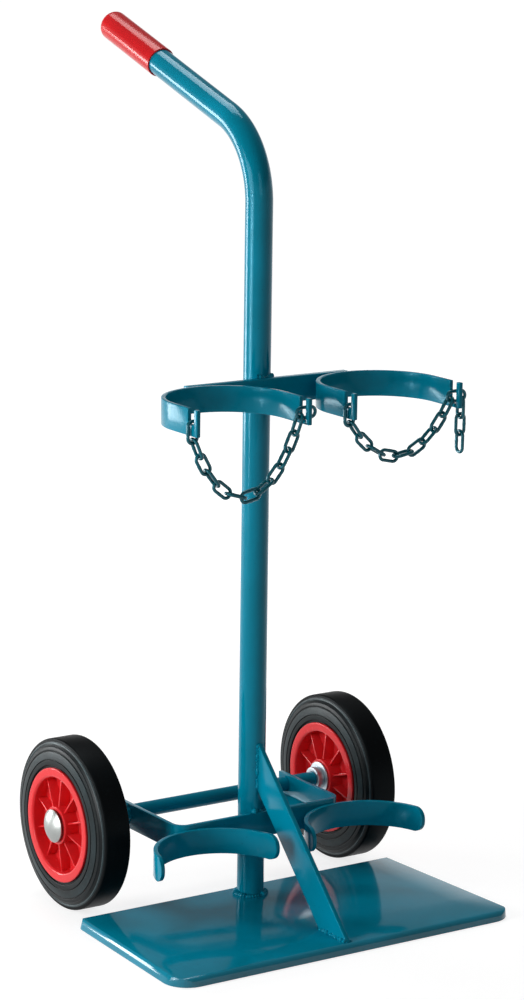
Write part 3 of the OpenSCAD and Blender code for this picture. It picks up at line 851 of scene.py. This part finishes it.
class TROLLEY_OT_welds(Operator):
    """Lays the weld beads along the seats of the frame"""
    bl_idname = "trolley.welds"
    bl_label = "Weld Beads"

    # Girths of the beads against the plain one
    plain, stout, broad, heavy = 1.0, 1.2, 1.3, 1.6
    # How far a bead ends before an edge, and the length of the beads on the brace
    end = 2 * MM
    brace_run = 54 * MM

    def execute(self, context):
        sizes = context.scene.trolley_frame
        mesh = bpy.data.meshes.new("seams")
        verts, edges, girths = [], [], []
        # Each seam is a row of points and the girth of its bead
        seams = [*self.column_seams(sizes), *self.cradle_seams(), *self.foot_seams(sizes)]
        for path, girth in seams:
            first = len(verts)
            verts += path
            girths += [girth] * len(path)
            edges += [(first + k, first + k + 1) for k in range(len(path) - 1)]
        mesh.from_pydata(verts, edges, [])
        mesh.attributes.new("girth", "FLOAT", "POINT").data.foreach_set("value", girths)
        beads = bead_tool().run(mesh, "enamel", Half_Width=sizes.bead, Ripple=sizes.ripple)
        piece_from("weld_beads", beads, "enamel", ROOT, [])
        return {"FINISHED"}

    def column_seams(self, sizes):
        """Beads where the cross bar and the axle frame meet the column."""
        axis, tube = column_axis(), sizes.tube
        apart, nip, under, over = 6.5 * MM, 1.2 * MM, 0.4 * MM, 0.6 * MM
        proud, wrap = 0.3 * MM, 1 * MM
        y = axis.y - tube + nip
        for low, high in (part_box("upper_crossbar"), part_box("axle_frame")):
            for x in (-apart, apart):
                yield line((x, y, low.z - under), (x, y, high.z + over)), self.plain
            above = axis + Vector((0, 0, high.z + proud))
            yield arc(above, tube + wrap, -125, -35, count=16), self.broad

    def cradle_seams(self):
        """Upright beads where the cradles meet the cross bar and the axle frame."""
        sunk = 0.4 * MM
        for level, carrier, inward, apart in (("upper", "upper_crossbar", 0.0, 5 * MM),
                                              ("lower", "axle_frame", 6 * MM, 7 * MM)):
            low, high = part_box(carrier)
            y = low.y - sunk
            for side in SIDES:
                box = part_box(f"{level}_cradle_{side}")
                middle = (box[0].x + box[1].x) / 2
                middle -= math.copysign(inward, middle)
                top, foot = min(high.z, box[1].z) - self.end, max(low.z, box[0].z) + self.end
                for x in (middle - apart, middle + apart):
                    yield line((x, y, foot), (x, y, top)), self.plain

    def foot_seams(self, sizes):
        """Beads round the column's foot, along the brace and round the axle's seats."""
        axis, tube = column_axis(), sizes.tube
        foot_rise, foot_wrap, shelf_rise, shelf_wrap = 0.8 * MM, 1.2 * MM, 5.6 * MM, 0.7 * MM
        brace_nip, brace_rise, axle_seat = 0.6 * MM, 0.6 * MM, 9.6 * MM
        rails, plate, brace = (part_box(node) for node in ("axle_frame", "base_plate", "brace"))
        foot = axis + Vector((0, 0, plate[1].z + foot_rise))
        yield arc(foot, tube + foot_wrap, 0, 360), self.heavy
        shelf = axis + Vector((0, 0, rails[0].z + shelf_rise))
        yield arc(shelf, tube + shelf_wrap, -200, 20), self.plain
        y, top = brace[1].y - brace_nip, brace[1].z
        front, z = brace[0].y, plate[1].z + brace_rise
        for x in (brace[0].x, brace[1].x):
            yield line((x, y, top - self.brace_run), (x, y, top - self.end)), self.plain
            yield line((x, front + self.end, z), (x, front + self.brace_run, z)), self.stout
        upright = Matrix.Rotation(math.pi / 2, 3, "Y")
        for x in (rails[0].x, rails[1].x):
            yield arc(Vector((x, AXLE_Y, AXLE_Z)), axle_seat, 0, 360, upright), self.plain


class TROLLEY_OT_wheels(Operator):
    """Turns the tyres and the ribbed rims"""
    bl_idname = "trolley.wheels"
    bl_label = "Wheels"

    tyre_sides = 192
    rim_sides = 144
    corner_steps = 6

    def execute(self, context):
        sizes = context.scene.trolley_wheel
        ribs = rib_tool()
        for side in SIDES:
            place = wheel_place(side)
            bm = lathe(self.tyre_loop(sizes), place, self.tyre_sides)
            mesh = smooth(mesh_of("tyre", bm), WHEEL_CREASE)
            piece_from(f"tyre_{side}_skin", mesh, "rubber", f"wheel_{side}", [f"tyre_{side}"])
            self.rim(sizes, ribs, side, place)
        return {"FINISHED"}

    def both_faces(self, half):
        """A whole profile from its outer half."""
        return rounded_loop(half + [(r, -z, e) for r, z, e in reversed(half)], self.corner_steps)

    def tyre_loop(self, s):
        """Profile of a tyre: bead, two scored lines, a step and a ridge under the rounded tread edge."""
        edge, fine, hair, groove = 0.5 * MM, 0.3 * MM, 0.25 * MM, 0.6 * MM
        score_part, step_part = 0.27, 0.45
        half, tread = s.width / 2, s.tread / 2
        deep, high = half - 1.2 * MM, half - 1.7 * MM
        bead, foot = s.rim_width / 2 - s.lip_wall - 0.1 * MM, s.lip + 3 * MM
        score = s.lip + score_part * (s.tyre - s.lip)
        ridge = s.tyre - s.shoulder
        flank = ridge - s.flank
        step, level = ridge - step_part * s.flank, (half + tread) / 2
        bead_foot = [(s.seat + 0.1 * MM, bead, 0.0), (foot, bead, edge), (foot, half, 1.1 * MM)]
        inner_score = [(score - groove, half, edge), (score - groove, deep, fine),
                       (score + groove, deep, fine), (score + groove, half, edge)]
        outer_score = [(flank - groove, high, edge), (flank - groove, high - 0.9 * MM, hair),
                       (flank + groove, high - 0.9 * MM, hair), (flank + 1.2 * MM, high - 0.3 * MM, edge)]
        step_edge = [(step - 0.3 * MM, level + 0.2 * MM, fine), (step, level - 0.5 * MM, fine)]
        ridge_bead = [(ridge - 0.8 * MM, tread + 0.2 * MM, 0.8 * MM),
                      (ridge - 0.4 * MM, tread + 1.0 * MM, 0.4 * MM),
                      (ridge + 0.6 * MM, tread + 0.8 * MM, 0.4 * MM), (ridge + 0.8 * MM, tread, fine)]
        tread_edge = [(s.tyre, tread - 0.6 * MM, s.shoulder)]
        return self.both_faces(bead_foot + inner_score + outer_score + step_edge + ridge_bead + tread_edge)

    def rim(self, s, ribs, side, place):
        """A rim: hub, web and lipped barrel in one turned shape, with the ribs set into it."""
        web, hub, wide = s.web / 2, s.hub_length / 2, s.rim_width / 2
        under_lip, sharp = wide - s.lip_wall, 0.4 * MM
        loop = self.both_faces([
            (s.bore, hub, 0.5 * MM), (s.hub, hub, 1.2 * MM), (s.hub, web, 2.0 * MM),
            (s.barrel, web, 3.0 * MM), (s.barrel, wide, 3.4 * MM), (s.lip, wide, 1.4 * MM),
            (s.lip, under_lip, sharp), (s.seat, under_lip, sharp),
        ])
        turned = mesh_of("rim", lathe(loop, Matrix.Identity(4), self.rim_sides))
        blade = placed("rib_blade", self.blade(s))
        mesh = ribs.run(turned, "rim", Count=s.ribs, Rib=blade)
        bpy.data.objects.remove(blade)
        mesh.transform(place)
        smooth(mesh, WHEEL_CREASE)
        piece_from(f"rim_{side}_skin", mesh, "rim", f"wheel_{side}", [f"rim_{side}"])

    def blade(self, s):
        """One rib, thin and deeper at the hub than at the barrel."""
        bite, hub_drop, rim_drop, edge = 1 * MM, 4 * MM, 7 * MM, 0.5 * MM
        half = s.rib / 2
        near, far = s.hub - bite, s.barrel + bite
        tall, low = s.hub_length / 2 - hub_drop, s.rim_width / 2 - rim_drop
        outline = [(near, -tall), (far, -low), (far, low), (near, tall)]
        bm = bmesh.new()
        sheets = [[bm.verts.new((r, y, z)) for r, z in outline] for y in (-half, half)]
        for k in range(len(outline)):
            j = (k + 1) % len(outline)
            bm.faces.new((sheets[0][k], sheets[0][j], sheets[1][j], sheets[1][k]))
        bm.faces.new(sheets[0])
        bm.faces.new(sheets[1])
        return eased(mesh_of("blade", bm), edge, segments=2, degrees=RIB_CREASE)


class TROLLEY_OT_hardware(Operator):
    """Finishes the axle, bushes, collars and washers, and presses the hub caps"""
    bl_idname = "trolley.hardware"
    bl_label = "Axle Hardware"

    axle_edge, ring_edge, bush_edge = 0.8 * MM, 0.35 * MM, 0.3 * MM
    cap_sides = 96
    dome_steps = 24

    def execute(self, context):
        sizes = context.scene.trolley_wheel
        dress("axle", "enamel", ROOT, self.axle_edge)
        for side in SIDES:
            for kind in ("inner_collar", "inner_washer", "outer_washer"):
                dress(f"{kind}_{side}", "zinc", ROOT, self.ring_edge)
            dress(f"bush_{side}", "bush", f"wheel_{side}", self.bush_edge)
            self.cap(sizes, side)
        return {"FINISHED"}

    def cap(self, s, side):
        """A hub cap: a thin dome with a short skirt."""
        low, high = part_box(f"hub_cap_{side}")
        place = wheel_place(side)
        face = max(abs(low.x), abs(high.x)) - abs(place.translation.x) - s.cap_dome - s.cap_skirt
        curve = (s.cap ** 2 + s.cap_dome ** 2) / (2 * s.cap_dome)
        centre = s.cap_skirt + s.cap_dome - curve
        inner = s.cap - s.cap_sheet

        def dome(radius, last):
            full = math.asin(min(1.0, last / radius))
            turns = [full * k / self.dome_steps for k in range(self.dome_steps + 1)]
            return [(radius * math.sin(a), centre + radius * math.cos(a)) for a in turns]

        outside = dome(curve, s.cap)
        inside = dome(curve - s.cap_sheet, inner)
        rise, nip = 0.2 * MM, 0.3 * MM
        foot = [(s.cap, rise), (s.cap - nip, 0.0), (inner, 0.0)]
        seat = place @ Matrix.Translation((0.0, 0.0, face))
        bm = lathe([Vector(p) for p in outside + foot + inside[::-1]], seat, self.cap_sides)
        mesh = smooth(mesh_of("cap", bm), CREASE)
        piece_from(f"hub_cap_{side}_skin", mesh, "bright", ROOT, [f"hub_cap_{side}"])


class TROLLEY_OT_chains(Operator):
    """Forms every chain link from bent wire on the places of the solid links"""
    bl_idname = "trolley.chains"
    bl_label = "Chains"

    def execute(self, context):
        sizes = context.scene.trolley_chain
        tool = link_tool()
        anchors = [f"chain_{side}_{kind}" for side in SIDES for kind in ("end_link", "hook_link")]
        groups = [("chain_anchor_links", ROOT, anchors)]
        groups += [(f"chain_{side}_links", f"chain_{side}", [f"chain_{side}_loop"]) for side in SIDES]
        groups += [("tail_right_links", "tail_right", ["chain_right_tail"])]
        for name, body, nodes in groups:
            links = [link for node in nodes for link in loose_links(node)]
            mesh = bpy.data.meshes.new(name)
            mesh.from_pydata([centre for centre, turn in links], [], [])
            turns = mesh.attributes.new("turn", "FLOAT_VECTOR", "POINT")
            for entry, (centre, turn) in zip(turns.data, links):
                entry.vector = Vector(turn)
            made = tool.run(mesh, "chain", Wire=sizes.wire, Bow=sizes.bow, Straight=sizes.straight,
                            Seam=sizes.seam)
            piece_from(name, made, "chain", body, nodes)
        return {"FINISHED"}


class TROLLEY_OT_stage(Operator):
    """Sets the white floor, the studio lights and the camera"""
    bl_idname = "trolley.stage"
    bl_label = "Stage"

    white = (1.0, 1.0, 1.0)
    far = 80.0
    floor_drop = 0.4 * MM
    view_end = 200.0
    # Glow of the floor by its distance from the middle, as a share of the reach in metres
    glow_reach = 4.0
    glow = ((0.12, 0.78), (0.6, 1.0))
    # Brightness of the studio wall by the upward part of the view
    wall = ((0.12, 1.0), (0.28, 0.22))
    # Place, aim and size in metres, power in watts, and whether the lamp shows in reflections
    lamps = {
        "softbox_left": ((-2.5, 0.1, 0.85), (0.0, 0.0, 0.5), (1.5, 1.5), 39.0, True),
        "strip_left": ((-2.3, 0.05, 0.45), (0.0, 0.0, 0.45), (0.14, 0.8), 9.0, True),
        "softbox_back_left": ((-1.5, 2.1, 0.48), (0.0, 0.0, 0.48), (0.78, 0.9), 30.0, True),
        "softbox_top": ((0.3, 1.0, 3.1), (0.0, 0.0, 0.4), (1.6, 1.3), 36.0, True),
        "fill_right": ((2.34, 1.35, 0.9), (0.0, 0.0, 0.45), (1.2, 1.2), 28.0, False),
        "softbox_front": ((-0.8, -2.8, 1.6), (0.0, -0.1, 0.5), (1.2, 1.2), 7.0, True),
    }

    def execute(self, context):
        stage = context.scene.trolley_stage
        self.floor(stage)
        self.sky(stage)
        self.camera(stage)
        for name, (place, aim, size, power, glare) in self.lamps.items():
            self.lamp(name, Vector(place), Vector(aim), size, power, glare)
        context.scene.view_settings.view_transform = "Standard"
        return {"FINISHED"}

    def floor(self, stage):
        """A pale floor that shows white and keeps the shadows."""
        mesh = bpy.data.meshes.new("floor")
        square = ((-1, -1), (1, -1), (1, 1), (-1, 1))
        corners = [(x * self.far, y * self.far, -self.floor_drop) for x, y in square]
        mesh.from_pydata(corners, [], [(0, 1, 2, 3)])
        floor = placed("floor", mesh)
        material = bpy.data.materials.new("floor_paper")
        g = cleared(material)
        rays = self.background_rays(g)
        paper = g.add("ShaderNodeBsdfDiffuse", {"Color": stage.floor})
        point = g.add("ShaderNodeTexCoord", out="Object")
        away = g.add("ShaderNodeVectorMath", {0: point}, out="Value", operation="LENGTH")
        rise = g.ramp(away / self.glow_reach, *self.glow)
        glow = g.add("ShaderNodeEmission", {"Color": self.white, "Strength": rays * rise})
        both = g.add("ShaderNodeAddShader", {0: paper, 1: glow})
        g.add("ShaderNodeOutputMaterial", {"Surface": both})
        material.cycles.emission_sampling = "NONE"
        mesh.materials.append(material)

    def background_rays(self, g):
        """One for the rays that see the white background."""
        path = g.add("ShaderNodeLightPath").socket.node.outputs
        kinds = ("Camera", "Glossy", "Transmission")
        camera, glossy, clear = (Sock(g, path[f"Is {kind} Ray"]) for kind in kinds)
        return g.maths("MAXIMUM", g.maths("MAXIMUM", camera, glossy), clear)

    def sky(self, stage):
        """Dim all-round light, which the background rays see as a wall that is white low down."""
        world = bpy.data.worlds.new("studio")
        bpy.context.scene.world = world
        g = cleared(world)
        rays = self.background_rays(g)
        up = g.split(g.add("ShaderNodeTexCoord", out="Generated"))[2]
        strength = stage.ambient + rays * (g.ramp(up, *self.wall) - stage.ambient)
        sky = g.add("ShaderNodeBackground", {"Color": self.white, "Strength": strength})
        g.add("ShaderNodeOutputWorld", {"Surface": sky})

    def lamp(self, name, place, aim, size, power, glare):
        """An area lamp that shines at a point, and shows in reflections only with glare."""
        data = bpy.data.lights.new(name, "AREA")
        data.shape = "RECTANGLE"
        data.size, data.size_y = size
        data.energy = power
        lamp = placed(name, data)
        lamp.location = place
        lamp.rotation_euler = (aim - place).to_track_quat("-Z", "Y").to_euler()
        lamp.visible_camera = False
        lamp.visible_glossy = glare

    def camera(self, stage):
        """The camera at the photograph's viewing angle."""
        a, e, r = stage.azimuth, stage.pitch, stage.roll
        back = Vector((math.sin(a) * math.cos(e), -math.cos(a) * math.cos(e), math.sin(e)))
        right = (-back).cross(Vector((0.0, 0.0, 1.0))).normalized()
        up = right.cross(-back)
        x_axis = right * math.cos(r) - up * math.sin(r)
        y_axis = right * math.sin(r) + up * math.cos(r)
        data = bpy.data.cameras.new("camera")
        data.sensor_fit = "VERTICAL"
        data.sensor_height = stage.picture
        data.lens = stage.lens
        data.clip_end = self.view_end
        camera = placed("camera", data)
        basis = Matrix((x_axis, y_axis, back)).transposed()
        place = Matrix.Translation(Vector(stage.target) + back * stage.distance)
        camera.matrix_world = place @ basis.to_4x4()
        bpy.context.scene.camera = camera


OPERATORS = (TROLLEY_OT_finishes, TROLLEY_OT_stage, TROLLEY_OT_column, TROLLEY_OT_frame, TROLLEY_OT_welds,
             TROLLEY_OT_wheels, TROLLEY_OT_hardware, TROLLEY_OT_chains)
GROUPS = {
    "trolley_colours": TrolleyColours,
    "trolley_frame": TrolleyFrameSizes,
    "trolley_wheel": TrolleyWheelSizes,
    "trolley_chain": TrolleyChainSizes,
    "trolley_stage": TrolleyStage,
}


class TROLLEY_PT_panel(Panel):
    """Lists the trolley's operators, sizes and colours"""
    bl_idname = "TROLLEY_PT_panel"
    bl_label = "Twin Cradle Trolley"
    bl_space_type = "VIEW_3D"
    bl_region_type = "UI"
    bl_category = "Trolley"

    def draw(self, context):
        for operator in OPERATORS:
            self.layout.operator(operator.bl_idname)
        for name, group in GROUPS.items():
            box = self.layout.box()
            for key in group.__annotations__:
                box.prop(getattr(context.scene, name), key)


def register():
    for cls in (*GROUPS.values(), *OPERATORS, TROLLEY_PT_panel):
        bpy.utils.register_class(cls)
    for name, group in GROUPS.items():
        setattr(bpy.types.Scene, name, PointerProperty(type=group))


def unregister():
    for name in GROUPS:
        delattr(bpy.types.Scene, name)
    for cls in (TROLLEY_PT_panel, *OPERATORS, *GROUPS.values()):
        bpy.utils.unregister_class(cls)


def main():
    register()
    bpy.ops.trolley.finishes()
    bpy.ops.trolley.stage()
    bpy.ops.trolley.column()
    bpy.ops.trolley.frame()
    bpy.ops.trolley.welds()
    bpy.ops.trolley.wheels()
    bpy.ops.trolley.hardware()
    bpy.ops.trolley.chains()


if __name__ == "__main__":
    main()
